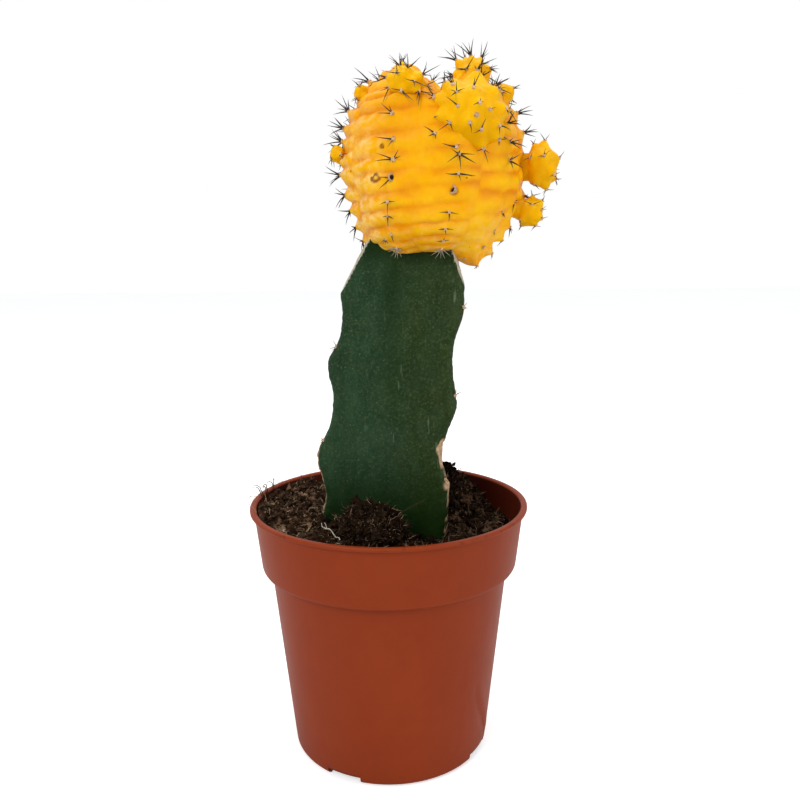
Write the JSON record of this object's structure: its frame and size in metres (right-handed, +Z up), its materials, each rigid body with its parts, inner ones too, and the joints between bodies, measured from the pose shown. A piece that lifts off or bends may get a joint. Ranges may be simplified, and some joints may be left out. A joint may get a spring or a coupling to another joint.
{
  "type": "potted moon cactus",
  "caption": "Grafted moon cactus: a yellow ribbed head with offsets on a three-angled green rootstock, planted in peat in a round plastic grower's pot with a deep collar.",
  "frame": {"origin": "centre of the pot's underside, on the surface that it stands on", "axes": "+Z up along the pot's axis, -Y towards the plant's broad flat rootstock face, +X to the right of someone who faces it"},
  "size_m": [0.0928, 0.085, 0.2069],
  "materials": {
    "pot_plastic": "satin",
    "peat": "matte",
    "straw": "matte",
    "rootstock_skin": "satin",
    "scion_skin": "satin",
    "offset_skin": "satin"
  },
  "bodies": {
    "root": {"pot": "pot_plastic", "soil": "peat", "peat_mound_front": "peat", "peat_clod_back": "peat", "straw_root": "straw", "rootstock_stem": "rootstock_skin", "scion_head": "scion_skin", "offset_front_large": "offset_skin", "offset_crown_left": "offset_skin", "offset_crown_tip": "offset_skin", "offset_crown_right": "offset_skin", "offset_shoulder_right": "offset_skin", "offset_side_right": "offset_skin", "offset_lower_right": "offset_skin", "offset_left_edge": "offset_skin", "offset_left_shoulder": "offset_skin", "offset_back_high": "offset_skin", "offset_back_left": "offset_skin", "offset_back_right": "offset_skin"}
  },
  "joints": []
}
